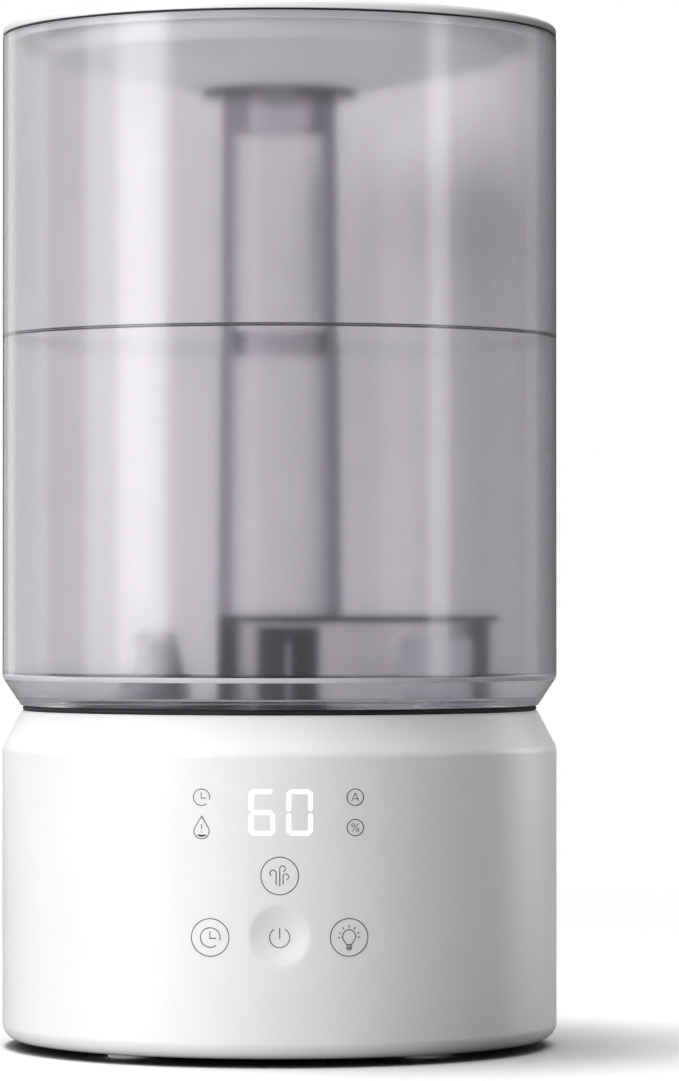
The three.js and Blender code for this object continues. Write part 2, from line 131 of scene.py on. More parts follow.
def turned(points, steps, closed=True, x=0, y=0):
    # a profile spun about the upright axis, then moved to (x, y)
    bm = wireProfile(points, closed)
    bmesh.ops.spin(bm, geom=bm.verts[:] + bm.edges[:], cent=(0, 0, 0), axis=(0, 0, 1), angle=fullTurn,
                   steps=steps, use_merge=True, use_duplicate=False)
    tidyMesh(bm)
    moveMesh(bm, x, y)
    return bm


def roundedPlate(x0, x1, y0, y1, low, high, corner):
    # a flat plate with upright rounded corners
    bm = bmesh.new()
    ring = [bm.verts.new((x * mm, y * mm, low * mm)) for x, y in ((x0, y0), (x1, y0), (x1, y1), (x0, y1))]
    bm.faces.new(ring)
    roundCorners(bm, ring, corner, 10)
    made = bmesh.ops.extrude_face_region(bm, geom=bm.faces[:])
    moveMesh(bm, z=high - low, points=newPoints(made))
    tidyMesh(bm)
    return bm


def block(x0, x1, y0, y1, z0, z1):
    bm = bmesh.new()
    bmesh.ops.create_cube(bm, size=1)
    bmesh.ops.scale(bm, verts=bm.verts, vec=((x1 - x0) * mm, (y1 - y0) * mm, (z1 - z0) * mm))
    moveMesh(bm, (x0 + x1) / 2, (y0 + y1) / 2, (z0 + z1) / 2)
    return bm


def rod(radius, low, high, steps, x=0):
    return turned([(0, low), (radius, low), (radius, high), (0, high)], steps, closed=False, x=x)


def rodAlongY(radius, y0, y1, z, steps=48):
    bm = rod(radius, y0, y1, steps)
    turnMesh(bm, -90, "X")
    moveMesh(bm, z=z)
    return bm


def cutsAround(corners, count, startDegrees=0, x=0):
    # the same block cut away at even steps round the upright line at x
    cuts = []
    for i in range(count):
        bm = block(*corners)
        turnMesh(bm, startDegrees + 360 / count * i, "Z")
        moveMesh(bm, x)
        cuts.append(bm)
    return cuts


def combined(first, added=(), cutAway=()):
    # one mesh out of many
    body = meshToObject(first, "work")
    helpers = []
    for operation, meshes in (("UNION", added), ("DIFFERENCE", cutAway)):
        for bm in meshes:
            helpers.append(meshToObject(bm, "helper"))
            modifier = body.modifiers.new("join", "BOOLEAN")
            modifier.operation = operation
            modifier.solver = "EXACT"
            modifier.object = helpers[-1]
    graph = bpy.context.evaluated_depsgraph_get()
    graph.update()
    result = bmesh.new()
    result.from_object(body, graph)
    for thing in [body, *helpers]:
        mesh = thing.data
        bpy.data.objects.remove(thing)
        bpy.data.meshes.remove(mesh)
    bmesh.ops.remove_doubles(result, verts=result.verts, dist=weld["cut"])
    bmesh.ops.dissolve_degenerate(result, edges=result.edges, dist=weld["cut"])
    return result


def softenEdges(bm, width, degrees=38):
    # breaks every sharp edge of a finished mesh
    limit = math.radians(degrees)
    sharp = [e for e in bm.edges if len(e.link_faces) == 2 and e.calc_face_angle(0) > limit]
    roundEdges(bm, sharp, width, 2)


def keepFacesFlat(piece):
    # long flat faces shade flat, and only the rounded edges turn
    modifier = piece.modifiers.new("keepFacesFlat", "WEIGHTED_NORMAL")
    modifier.keep_sharp = True


def finishPiece(bm, name, finishes, body, standsFor, smoothDegrees=32):
    # finishes names one material, or several with spaces between for faces that carry a number
    smoothByAngle(bm, smoothDegrees)
    piece = meshToObject(bm, name)
    for finish in finishes.split():
        piece.data.materials.append(materials[finish])
    keepFacesFlat(piece)
    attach(piece, body)
    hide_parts(*standsFor)
    return piece


# materials

def startMaterial(name):
    material = bpy.data.materials.new(name)
    material.use_nodes = True
    tree = material.node_tree
    return material, tree, tree.nodes["Principled BSDF"]


def feed(tree, node, inputs):
    # each input gets a value, or follows the output of another node
    for key, value in inputs.items():
        socket = node.inputs[key]
        if isinstance(value, bpy.types.NodeSocket):
            tree.links.new(value, socket)
        else:
            socket.default_value = (*value, 1) if socket.type == "RGBA" else value


def addNode(tree, kind, inputs={}, **settings):
    made = tree.nodes.new(kind)
    for key, value in settings.items():
        setattr(made, key, value)
    feed(tree, made, inputs)
    return made


def ownSpace(tree):
    return addNode(tree, "ShaderNodeTexCoord").outputs["Object"]


def objectNoise(tree, featureSize, detail=3.0, roughness=0.5):
    # noise whose features are about featureSize millimetres across
    return addNode(tree, "ShaderNodeTexNoise", {
        "Vector": ownSpace(tree), "Scale": 1 / (featureSize * mm), "Detail": detail,
        "Roughness": roughness}).outputs["Fac"]


def spread(tree, source, low, high, fromLow=0.3, fromHigh=0.7, kind="LINEAR"):
    return addNode(tree, "ShaderNodeMapRange", {
        "Value": source, "From Min": fromLow, "From Max": fromHigh, "To Min": low, "To Max": high},
        interpolation_type=kind).outputs["Result"]


def twoTone(tree, factor, toneA, toneB):
    return addNode(tree, "ShaderNodeMix", {"Factor": factor, 6: toneA, 7: toneB}, data_type="RGBA").outputs[2]


def bumpFrom(tree, source, depth, under=None):
    # depth is in millimetres, and under is a coarser bump that this one lies on
    bump = addNode(tree, "ShaderNodeBump", {"Height": source, "Strength": 1.0, "Distance": depth * mm})
    if under is not None:
        feed(tree, bump, {"Normal": under})
    return bump.outputs["Normal"]


def mixShaders(tree, factor, shaderA, shaderB):
    mix = addNode(tree, "ShaderNodeMixShader", {"Fac": factor, 1: shaderA, 2: shaderB})
    feed(tree, tree.nodes["Material Output"], {"Surface": mix.outputs["Shader"]})


def mouldedPlastic(name, look):
    look = plainPlastic | look
    material, tree, shader = startMaterial(name)
    broad = objectNoise(tree, look["mottle"], 2)
    fine = objectNoise(tree, look["grain"], 4, 0.6)
    colour = twoTone(tree, spread(tree, broad, 0, 1), look["toneA"], look["toneB"])
    shape = addNode(tree, "ShaderNodeNewGeometry")  # raised edges catch a little more light
    # painted highlight: raised edges are mixed towards edgeTone, as if lit more strongly
    edge = spread(tree, shape.outputs["Pointiness"], 0, look["paintedEdgeHighlight"], 0.52, 0.6)
    wave = bumpFrom(tree, broad, look["ripple"])
    feed(tree, shader, {
        "Base Color": twoTone(tree, edge, colour, look["edgeTone"]),
        "Roughness": spread(tree, fine, *look["gloss"]),
        "Normal": bumpFrom(tree, fine, look["grainDepth"], wave),
        "IOR": 1.5, "Subsurface Weight": look["depth"], "Subsurface Scale": 0.004})
    return material


def smokyPlastic(name, look):
    # see-through smoke tint that lets lamps reach what is behind it
    material, tree, shader = startMaterial(name)
    broad = objectNoise(tree, 30, 2)
    fine = objectNoise(tree, 0.5, 4, 0.6)
    colour = twoTone(tree, spread(tree, broad, 0, 1), look["toneA"], look["toneB"])
    if "edgeSpan" in look:  # more plastic to look through where the wall is seen edge-on
        slant = addNode(tree, "ShaderNodeLayerWeight", {"Blend": 0.5})
        edgeOn = spread(tree, slant.outputs["Facing"], 0, 1, *look["edgeSpan"])
        colour = twoTone(tree, edgeOn, colour, look["edgeTone"])
    feed(tree, shader, {
        "Base Color": colour, "Roughness": spread(tree, fine, *look["gloss"]),
        "Normal": bumpFrom(tree, broad, look["ripple"]), "Transmission Weight": 1.0, "IOR": look["ior"]})
    rays = addNode(tree, "ShaderNodeLightPath")
    clear = addNode(tree, "ShaderNodeBsdfTransparent", {"Color": look["shade"]})
    mixShaders(tree, rays.outputs["Is Shadow Ray"], shader.outputs["BSDF"], clear.outputs["BSDF"])
    return material


def brushedMetal(name, look):
    material, tree, shader = startMaterial(name)
    stretch = addNode(tree, "ShaderNodeMapping", {"Vector": ownSpace(tree), "Scale": (1, 1, 12)})
    lines = addNode(tree, "ShaderNodeTexNoise", {
        "Vector": stretch.outputs["Vector"], "Scale": 900, "Detail": 4, "Roughness": 0.6}).outputs["Fac"]
    feed(tree, shader, {
        "Base Color": twoTone(tree, spread(tree, objectNoise(tree, 6), 0, 1), look["toneA"], look["toneB"]),
        "Roughness": spread(tree, lines, *look["gloss"]), "Normal": bumpFrom(tree, lines, 0.02),
        "Metallic": 1.0})
    return material


def circuitBoard(name, look):
    # solder mask with copper runs under it
    material, tree, shader = startMaterial(name)
    runs = addNode(tree, "ShaderNodeTexBrick", {
        "Vector": ownSpace(tree), "Scale": 130, "Mortar Size": 0.02, "Bias": -0.2, "Color1": look["maskA"],
        "Color2": look["maskB"], "Mortar": look["runs"]}, offset=0.35, squash=0.6)
    feed(tree, shader, {
        "Base Color": runs.outputs["Color"], "Roughness": spread(tree, objectNoise(tree, 2), *look["gloss"]),
        "Normal": bumpFrom(tree, runs.outputs["Fac"], 0.03), "Coat Weight": look["coat"]})
    return material


def litPlastic(name, look):
    # light shining through a diffusing skin
    material, tree, shader = startMaterial(name)
    feed(tree, shader, {
        "Base Color": look["tone"], "Emission Color": look["tone"],
        "Emission Strength": spread(tree, objectNoise(tree, 1.2, 2), *look["strength"]),
        "Roughness": spread(tree, objectNoise(tree, 0.4), *look["gloss"])})
    return material


# edgeTone and the edge amount set a painted highlight on raised edges of moulded plastic
plainPlastic = {"paintedEdgeHighlight": 0.3, "grain": 0.3, "grainDepth": 0.01, "ripple": 0.01, "depth": 0.0}
plasticLooks = {
    "whiteSatin": {"toneA": (0.86, 0.86, 0.865), "toneB": (0.83, 0.83, 0.84), "edgeTone": (0.93, 0.93, 0.93),
                   "paintedEdgeHighlight": 0.35, "gloss": (0.34, 0.46), "grain": 0.35, "grainDepth": 0.006,
                   "mottle": 26, "ripple": 0.02, "depth": 0.05},
    "whiteInner": {"toneA": (0.78, 0.79, 0.80), "toneB": (0.73, 0.74, 0.76), "edgeTone": (0.9, 0.9, 0.9),
                   "gloss": (0.28, 0.45), "grain": 0.5, "mottle": 18, "ripple": 0.02},
    "whiteMatt": {"toneA": (0.80, 0.80, 0.80), "toneB": (0.76, 0.76, 0.765), "edgeTone": (0.9, 0.9, 0.9),
                  "gloss": (0.45, 0.62), "grain": 0.28, "grainDepth": 0.012, "mottle": 22, "ripple": 0.015},
    "blackMoulding": {"toneA": (0.018, 0.018, 0.02), "toneB": (0.03, 0.03, 0.033),
                      "edgeTone": (0.09, 0.09, 0.1), "paintedEdgeHighlight": 0.5, "gloss": (0.35, 0.55),
                      "grain": 0.4, "grainDepth": 0.012, "mottle": 12},
    "blackSilicone": {"toneA": (0.010, 0.010, 0.011), "toneB": (0.018, 0.018, 0.019),
                      "edgeTone": (0.05, 0.05, 0.05), "paintedEdgeHighlight": 0.4, "gloss": (0.55, 0.75), "mottle": 8},
    "milkySilicone": {"toneA": (0.62, 0.63, 0.64), "toneB": (0.55, 0.56, 0.57), "edgeTone": (0.75, 0.75, 0.75),
                      "gloss": (0.5, 0.7), "mottle": 5, "depth": 0.3},
    "greyPrint": {"toneA": (0.03, 0.03, 0.032), "toneB": (0.045, 0.045, 0.048), "edgeTone": (0.12, 0.12, 0.12),
                  "paintedEdgeHighlight": 0.2, "gloss": (0.5, 0.65), "grain": 0.25, "grainDepth": 0.004,
                  "mottle": 3, "ripple": 0.004},
    "cableSleeve": {"toneA": (0.02, 0.02, 0.022), "toneB": (0.03, 0.03, 0.032), "edgeTone": (0.06, 0.06, 0.06),
                    "gloss": (0.4, 0.55), "mottle": 6},
    # opaque pale band on the tank's underside and shoulder: a painted highlight
    "frostedLine": {"toneA": (0.66, 0.65, 0.68), "toneB": (0.6, 0.59, 0.62), "edgeTone": (0.75, 0.75, 0.77),
                    "gloss": (0.25, 0.4), "grainDepth": 0.006, "mottle": 8},
    "milkyLens": {"toneA": (0.80, 0.79, 0.75), "toneB": (0.74, 0.73, 0.70), "edgeTone": (0.9, 0.9, 0.88),
                  "gloss": (0.2, 0.3), "grain": 0.4, "grainDepth": 0.006, "mottle": 6, "depth": 0.6},
}
materials = {name: mouldedPlastic(name, look) for name, look in plasticLooks.items()}

smokeLooks = {
    "smokeTank": {"toneA": (0.755, 0.738, 0.765), "toneB": (0.73, 0.713, 0.742), "shade": (0.75, 0.74, 0.77),
                  "gloss": (0.135, 0.17), "ripple": 0.02, "ior": 1.48},
    "smokeInner": {"toneA": (0.97, 0.965, 0.975), "toneB": (0.95, 0.943, 0.955), "shade": (0.9, 0.9, 0.91),
                   "gloss": (0.10, 0.16), "ripple": 0.03, "ior": 1.25, "edgeSpan": (0.26, 0.42),
                   "edgeTone": (0.17, 0.155, 0.23)},
    "smokeClear": {"toneA": (0.98, 0.975, 0.985), "toneB": (0.96, 0.955, 0.965), "shade": (0.9, 0.9, 0.91),
                   "gloss": (0.10, 0.16), "ripple": 0.02, "ior": 1.25},
    "smokeDense": {"toneA": (0.87, 0.86, 0.88), "toneB": (0.83, 0.82, 0.84), "shade": (0.86, 0.86, 0.87),
                   "gloss": (0.10, 0.16), "ripple": 0.03, "ior": 1.3, "edgeSpan": (0.14, 0.38),
                   "edgeTone": (0.015, 0.012, 0.022)},
    # near-black tint used as painted shade: dark edge lines on the chamber lip and on the collar's lower rim
    "smokeRim": {"toneA": (0.07, 0.06, 0.085), "toneB": (0.055, 0.05, 0.07), "shade": (0.7, 0.7, 0.71),
                 "gloss": (0.12, 0.2), "ripple": 0.03, "ior": 1.3, "edgeSpan": (0.22, 0.5),
                 "edgeTone": (0.03, 0.027, 0.04)},
    "smokeLine": {"toneA": (0.2, 0.185, 0.23), "toneB": (0.16, 0.15, 0.19), "shade": (0.6, 0.6, 0.61),
                  "gloss": (0.14, 0.2), "ripple": 0.01, "ior": 1.48},
    "smokeCollar": {"toneA": (0.86, 0.85, 0.875), "toneB": (0.83, 0.82, 0.845), "shade": (0.85, 0.85, 0.86),
                    "gloss": (0.12, 0.2), "ripple": 0.03, "ior": 1.35, "edgeSpan": (0.22, 0.5),
                    "edgeTone": (0.3, 0.28, 0.33)},
}
materials.update({name: smokyPlastic(name, look) for name, look in smokeLooks.items()})

metalLooks = {
    "steel": {"toneA": (0.62, 0.63, 0.64), "toneB": (0.52, 0.53, 0.55), "gloss": (0.22, 0.4)},
    "aluminium": {"toneA": (0.66, 0.67, 0.68), "toneB": (0.58, 0.59, 0.6), "gloss": (0.35, 0.55)},
    "copper": {"toneA": (0.72, 0.36, 0.17), "toneB": (0.55, 0.26, 0.12), "gloss": (0.25, 0.45)},
}
materials.update({name: brushedMetal(name, look) for name, look in metalLooks.items()})
materials["board"] = circuitBoard("board", {
    "maskA": (0.008, 0.11, 0.045), "maskB": (0.012, 0.16, 0.06), "runs": (0.02, 0.26, 0.1),
    "gloss": (0.3, 0.42), "coat": 0.4})
materials["litDigits"] = litPlastic("litDigits", {
    "tone": (1.0, 1.0, 1.0), "strength": (1.0, 1.15), "gloss": (0.35, 0.5)})
print("materials made:", len(materials))


# white base

base = {
    "radius": 82.5, "bottom": 2.3, "shoulder": 88.7, "neck": 77.0, "top": 99.7,
    "bottomRounding": 4.8, "shoulderRounding": 1.0,
    "dishHeight": 37.4, "dishRadius": 8.5, "dishDepth": 1.5, "dishLip": 0.16, "dishEnd": -2.5,
    "frontHalfAngle": 13, "frontHalfWidth": 14, "frontSteps": 66, "restSteps": 150,
    "rowsFrom": 25.5, "rowsTo": 48.5, "rowStep": 0.72,
    "inletHole": (5.3, 76, 86, 19.5),  # radius, from and to, height
    "airSlots": {"count": 5, "first": 51, "step": 3.4, "height": 1.4, "left": -30, "right": -18,
                 "rounding": 0.6},
}


def dishDepthAt(across, height):
    # how far the finger dish goes in, with a soft lip
    share = (across ** 2 + (height - base["dishHeight"]) ** 2) / base["dishRadius"] ** 2
    raw = base["dishDepth"] * (1 - share)
    if raw < base["dishEnd"]:
        return 0.0
    return 0.5 * (raw + math.sqrt(raw * raw + base["dishLip"] ** 2))


def frontFace(x, z, proud=0.0):
    # y of the base's front, in millimetres
    r = base["radius"]
    return -(math.sqrt(r * r - x * x) + proud - dishDepthAt(r * math.asin(x / r), z))


def baseProfile():
    b = base
    rows = int((b["rowsTo"] - b["rowsFrom"]) / b["rowStep"])
    wall = [(b["radius"], b["rowsFrom"] + i * b["rowStep"]) for i in range(rows + 1)]
    outside = [(72, b["bottom"], 0.4), (b["radius"], b["bottom"], b["bottomRounding"]), *wall,
               (b["radius"], b["shoulder"], b["shoulderRounding"]), (b["neck"], b["top"] - 0.5, 0.4),
               (b["neck"] - 0.5, b["top"])]
    inside = [(75.9, b["top"]), (75.9, 98.6), (74.2, 98.6), (74.2, 96.2), (80, 86, 1), (80, 9.6, 1),
              (77.5, 7.3), (68, 7.3, 0.4), (68, 5.1, 0.4), (72, 5.1)]
    return outside + inside


def makeBaseHousing():
    # the front is turned in finer steps than the rest, for the finger dish
    bm = wireProfile(baseProfile())
    turnMesh(bm, -90 - base["frontHalfAngle"], "Z")
    half = math.radians(base["frontHalfAngle"])
    front = bmesh.ops.spin(bm, geom=bm.verts[:] + bm.edges[:], cent=(0, 0, 0), axis=(0, 0, 1),
                           angle=2 * half, steps=base["frontSteps"])
    last = [g for g in front["geom_last"] if not isinstance(g, bmesh.types.BMFace)]
    bmesh.ops.spin(bm, geom=last, cent=(0, 0, 0), axis=(0, 0, 1),
                   angle=fullTurn - 2 * half, steps=base["restSteps"])
    tidyMesh(bm)
    for vert in bm.verts:
        x, y, z = vert.co / mm
        if y < 0 and math.hypot(x, y) > base["radius"] - 0.01 and abs(x) < base["frontHalfWidth"]:
            vert.co.y = frontFace(x, z) * mm
    cuts = [rodAlongY(*base["inletHole"])]
    slots = base["airSlots"]  # for the humidity sensor, at the back
    for row in range(slots["count"]):
        low = slots["first"] + row * slots["step"]
        slot = block(slots["left"], slots["right"], 70, 90, low, low + slots["height"])
        through = [e for e in slot.edges if abs(e.verts[0].co.y - e.verts[1].co.y) > 10 * mm]
        roundEdges(slot, through, slots["rounding"], 3)
        cuts.append(slot)
    finishPiece(combined(bm, cutAway=cuts), "baseHousing", "whiteSatin", "base",
                ["base_housing"], 28)


makeBaseHousing()
print("base housing made")


# printed symbols and lit digits on the front

symbols = {"line": 0.26, "thinLine": 0.25, "letterLine": 0.18, "lift": 0.1, "proud": 0.03, "depth": 0.18}
keys = {"ring": 5.33, "mistZ": 54.42, "rowZ": 36.9, "sideX": 19.66, "powerArc": 2.85, "dial": 2.78,
        "hand": 1.75}
indicators = {"rowA": 76.58, "rowB": 67.99, "leftX": -22.12, "rightX": 21.42, "ring": 2.33, "hand": 1.4,
              "dropZ": 66.95, "dropRadius": 2.16, "dropTip": 4.28}


def arcPoints(x, z, radius, fromDegrees, toDegrees, flatten=1.0):
    count = max(6, int(abs(toDegrees - fromDegrees) / 9))
    angles = [math.radians(fromDegrees + (toDegrees - fromDegrees) * i / count) for i in range(count + 1)]
    return [(x + radius * flatten * math.cos(a), z + radius * math.sin(a)) for a in angles]


def ringPoints(x, z, radius, flatten=1.0):
    return arcPoints(x, z, radius, 0, 360, flatten)[:-1]


def addStroke(bm, points, closed=False):
    made = [bm.verts.new((x * mm, 0, z * mm)) for x, z in points]
    pairs = list(zip(made, made[1:])) + ([(made[-1], made[0])] if closed else [])
    for a, b in pairs:
        bm.edges.new((a, b))


def layOnFront(bm):
    # flat drawing in the XZ plane, pressed onto the front of the base
    for vert in bm.verts:
        x, y, z = vert.co / mm
        z += symbols["lift"]
        vert.co.y = (frontFace(x, z, symbols["proud"]) + y) * mm
        vert.co.z = z * mm


def strokesPiece(name, strokes, width):
    bm = bmesh.new()
    for points, closed in strokes:
        addStroke(bm, points, closed)
    made = bmesh.ops.extrude_edge_only(bm, edges=bm.edges[:])
    moveMesh(bm, y=symbols["depth"], points=newPoints(made))
    layOnFront(bm)
    for face in bm.faces:
        face.smooth = True
    piece = meshToObject(bm, name)
    modifier = piece.modifiers.new("width", "SOLIDIFY")
    modifier.thickness = width * mm
    modifier.offset = 0
    modifier.use_even_offset = True
    piece.data.materials.append(materials["greyPrint"])
    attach(piece, "base")
    return piece


def filledShapes(bm, outlines):
    for outline in outlines:
        bm.faces.new([bm.verts.new((x * mm, 0, z * mm)) for x, z in outline])


def filledPiece(name, bm, material):
    # flat outlines given a little depth and laid on the front
    low = min(v.co.x for v in bm.verts) / mm
    high = max(v.co.x for v in bm.verts) / mm
    for i in range(int(math.floor(low)), int(math.ceil(high)) + 1):
        bmesh.ops.bisect_plane(bm, geom=bm.verts[:] + bm.edges[:] + bm.faces[:], dist=1e-7,
                               plane_co=(i * mm, 0, 0), plane_no=(1, 0, 0))
    made = bmesh.ops.extrude_face_region(bm, geom=bm.faces[:])
    moveMesh(bm, y=symbols["depth"], points=newPoints(made))
    bmesh.ops.recalc_face_normals(bm, faces=bm.faces)
    layOnFront(bm)
    smoothByAngle(bm, 40)
    piece = meshToObject(bm, name)
    piece.data.materials.append(material)
    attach(piece, "base")
    return piece


def clockFace(x, z, radius, hand):
    # dial with a gap at the lower right, and two hands
    return [(arcPoints(x, z, radius, -16, 306), False),
            ([(x - 0.1, z + hand), (x - 0.1, z - 0.22), (x - 0.1 + hand, z - 0.22)], False)]


def plume(x, foot, top, curl, side, endDegrees):
    # stem that rises and curls over to one side
    bend = arcPoints(x + side * curl, top, curl, 180 if side > 0 else 0, endDegrees)
    return [(x, foot), *bend], False


bulbSymbol = {"glass": 1.86, "centre": 0.3, "neck": 0.75, "neckFoot": 2.0, "capTop": 2.42, "capStep": 0.38,
              "capHalves": (0.85, 0.85, 0.85, 0.5), "rays": (-6, 20, 55, 90, 125, 160, 186),
              "rayFrom": 2.45, "rayTo": 3.15}


def bulb(x, z):
    b = bulbSymbol
    middle = z + b["centre"]
    glass = arcPoints(x, middle, b["glass"], -42, 222)
    foot = z - b["neckFoot"]
    strokes = [([(x + b["neck"], foot), *glass, (x - b["neck"], foot)], True)]
    for i, half in enumerate(b["capHalves"]):
        row = z - b["capTop"] - i * b["capStep"]
        strokes.append(([(x - half, row), (x + half, row)], False))
    for degrees in b["rays"]:
        a = math.radians(degrees)
        strokes.append(([(x + reach * math.cos(a), middle + reach * math.sin(a))
                         for reach in (b["rayFrom"], b["rayTo"])], False))
    return strokes


def makeKeySymbols():
    k = keys
    mistZ, rowZ, sideX = k["mistZ"], k["rowZ"], k["sideX"]
    strokes = [(ringPoints(x, z, k["ring"]), True) for x, z in ((0, mistZ), (-sideX, rowZ), (sideX, rowZ))]
    strokes.append(plume(-1.0, mistZ - 2.6, mistZ + 0.8, 0.88, -1, 235))
    strokes.append(plume(0.02, mistZ - 2.95, mistZ + 2.05, 0.8, 1, -75))
    strokes.append(plume(0.95, mistZ - 2.4, mistZ - 0.25, 0.8, 1, -80))
    strokes += clockFace(-sideX, rowZ, k["dial"], k["hand"])
    strokesPiece("keySymbols", strokes, symbols["line"])
    strokesPiece("lightKeySymbol", bulb(sideX, rowZ), symbols["thinLine"])
    power = [(arcPoints(0, rowZ, k["powerArc"], 124, 416), False),
             ([(0, rowZ + 2.7), (0, rowZ - 0.4)], False)]
    strokesPiece("powerSymbol", power, symbols["line"])


def makeIndicatorSymbols():
    i = indicators
    rowA, rowB, leftX, rightX, dropZ = i["rowA"], i["rowB"], i["leftX"], i["rightX"], i["dropZ"]
    strokes = clockFace(leftX, rowA, i["ring"], i["hand"])
    sides = arcPoints(leftX, dropZ, i["dropRadius"], -206, 26)
    strokes.append(([(leftX, dropZ + i["dropTip"])] + [(2 * leftX - x, z) for x, z in sides], True))
    strokes.append(([(leftX, dropZ + 2.0), (leftX, dropZ + 0.55)], False))
    strokes.append(([(leftX, dropZ + 0.03), (leftX, dropZ - 0.37)], False))
    strokes.append((ringPoints(rightX, rowA, i["ring"]), True))
    strokes.append((ringPoints(rightX, rowB, i["ring"]), True))
    strokesPiece("indicatorSymbols", strokes, symbols["thinLine"])
    # the letter A, then the percent sign
    letters = [([(rightX - 0.98, rowA - 1.1), (rightX, rowA + 1.25)], False),
               ([(rightX, rowA + 1.25), (rightX + 0.98, rowA - 1.1)], False),
               ([(rightX - 0.62, rowA - 0.45), (rightX + 0.62, rowA - 0.45)], False),
               ([(rightX - 0.85, rowB - 1.2), (rightX + 0.85, rowB + 1.2)], False),
               (ringPoints(rightX - 0.66, rowB + 0.66, 0.47, 0.8), True),
               (ringPoints(rightX + 0.66, rowB - 0.68, 0.47, 0.8), True)]
    strokesPiece("letterSymbols", letters, symbols["letterLine"])
    water = bmesh.new()
    surface = dropZ - 0.92
    filledShapes(water, [[(x, min(z, surface)) for x, z in arcPoints(leftX, dropZ + 0.35, 1.95, 222, 318)]])
    filledPiece("lowWaterMark", water, materials["greyPrint"])


digits = {"centreZ": 72.35, "height": 13.0, "width": 7.35, "bar": 1.22, "gap": 0.41, "cut": 0.4,
          "inset": 0.62, "sideInset": 0.85, "places": [(-5.03, "6"), (5.67, "0")]}
litBars = {"6": "top middle bottom upperLeft lowerLeft lowerRight",
           "0": "top bottom upperLeft lowerLeft upperRight lowerRight"}


def barOutline(x0, x1, z0, z1, cut):
    # bar with its corners cut, as in a segment display
    return [(x0 + cut, z0), (x1 - cut, z0), (x1, z0 + cut), (x1, z1 - cut),
            (x1 - cut, z1), (x0 + cut, z1), (x0, z1 - cut), (x0, z0 + cut)]


def makeDigits():
    d = digits
    bm = bmesh.new()
    bar, half, middle = d["bar"], d["width"] / 2, d["centreZ"]
    low, high = middle - d["height"] / 2, middle + d["height"] / 2
    inset = bar * d["inset"]
    end = inset * d["sideInset"]
    for centre, digit in d["places"]:
        left, right = centre - half, centre + half
        bars = {
            "top": (left + inset, right - inset, high - bar, high),
            "middle": (left + inset, right - inset, middle - bar / 2, middle + bar / 2),
            "bottom": (left + inset, right - inset, low, low + bar),
            "upperLeft": (left, left + bar, middle + d["gap"], high - end),
            "upperRight": (right - bar, right, middle + d["gap"], high - end),
            "lowerLeft": (left, left + bar, low + end, middle - d["gap"]),
            "lowerRight": (right - bar, right, low + end, middle - d["gap"]),
        }
        filledShapes(bm, [barOutline(*bars[name], d["cut"]) for name in litBars[digit].split()])
    filledPiece("litDigits", bm, materials["litDigits"])


makeKeySymbols()
makeIndicatorSymbols()
makeDigits()
print("front symbols made")


# seat ring, feet and screws

seatRing = [(72.4, 99.72), (76.2, 99.72, 0.2), (76.6, 100.5, 0.3), (76.2, 101.18, 0.2), (72.4, 101.18, 0.2)]
footPad = {"profile": [(0, 0), (6.9, 0, 0.7), (7.0, 2.4, 0.3), (0, 2.4)],
           "places": [(43, -43), (43, 43), (-43, 43), (-43, -43)]}
housingScrew = {"profile": [(0, 2.9), (2.6, 2.9, 0.3), (3.0, 3.6, 0.3), (3.0, 5.0), (1.5, 5.0),
                            (1.5, 21.6, 0.8), (0.6, 22.8), (0, 22.8)],
                "places": [(21.2, 58.3), (-21.2, 58.3), (-21.2, -58.3), (21.2, -58.3)],
                "slotHalf": (1.7, 0.35), "slotHeights": (2, 4.1)}


def makeBaseTrim():
    finishPiece(turned(seatRing, 160), "tankSeatRing", "blackSilicone", "base",
                ["tank_seat_ring"])
    for number, (x, y) in enumerate(footPad["places"], 1):
        pad = turned(footPad["profile"], 48, closed=False, x=x, y=y)
        finishPiece(pad, f"footPad{number}", "milkySilicone", "base",
                    [f"foot_{number}"])
    long, short = housingScrew["slotHalf"]
    heights = housingScrew["slotHeights"]
    for number, (x, y) in enumerate(housingScrew["places"], 1):
        screw = turned(housingScrew["profile"], 32, closed=False, x=x, y=y)
        cross = [block(x - long, x + long, y - short, y + short, *heights),
                 block(x - short, x + short, y - long, y + long, *heights)]
        finishPiece(combined(screw, cutAway=cross), f"housingScrew{number}", "steel", "base",
                    [f"housing_screw_{number}"])


makeBaseTrim()
print("seat ring, feet and screws made")


# water tank

tank = {"radius": 82.5, "wall": 2.6, "bottom": 101.3, "shoulder": 109.6, "neck": 77.0, "top": 299.8,
        "fillLine": 210.8, "lineGroove": 0.45, "lineHalf": 0.6, "highlightBandHalf": 0.9, "steps": 192}


def makeTankShell():
    t = tank
    inner = t["radius"] - t["wall"]
    profile = [(71.2, t["bottom"], 0.3), (t["neck"], t["bottom"]), (t["neck"] + 0.8, t["bottom"] + 1.2),
               (t["radius"], t["shoulder"], 0.8),
               (t["radius"], t["top"], 0.35), (inner, t["top"], 0.35),
               (inner, t["fillLine"] + 0.5), (inner + t["lineGroove"], t["fillLine"] + 0.1),
               (inner + t["lineGroove"], t["fillLine"] - 0.1), (inner, t["fillLine"] - 0.5),
               (inner, 110.6, 1.0), (75.8, 104.3, 0.8), (71.2, 104.3, 0.3)]
    shell = turned(profile, t["steps"])
    # the underside and the shoulder rounding get the opaque pale band, a painted highlight; the fill-line
    # groove gets its darker line
    for face in shell.faces:
        place = face.calc_center_median() / mm
        radius = math.hypot(place.x, place.y)
        underside = place.z < t["bottom"] + 0.2
        shoulder = radius > t["radius"] - t["highlightBandHalf"] and abs(place.z - t["shoulder"]) < t["highlightBandHalf"]
        if radius < inner + 1 and abs(place.z - t["fillLine"]) < t["lineHalf"]:
            face.material_index = 2
        elif underside or shoulder:
            face.material_index = 1
    finishPiece(shell, "tankShell", "smokeTank frostedLine smokeLine", "tank",
                ["tank_shell"])


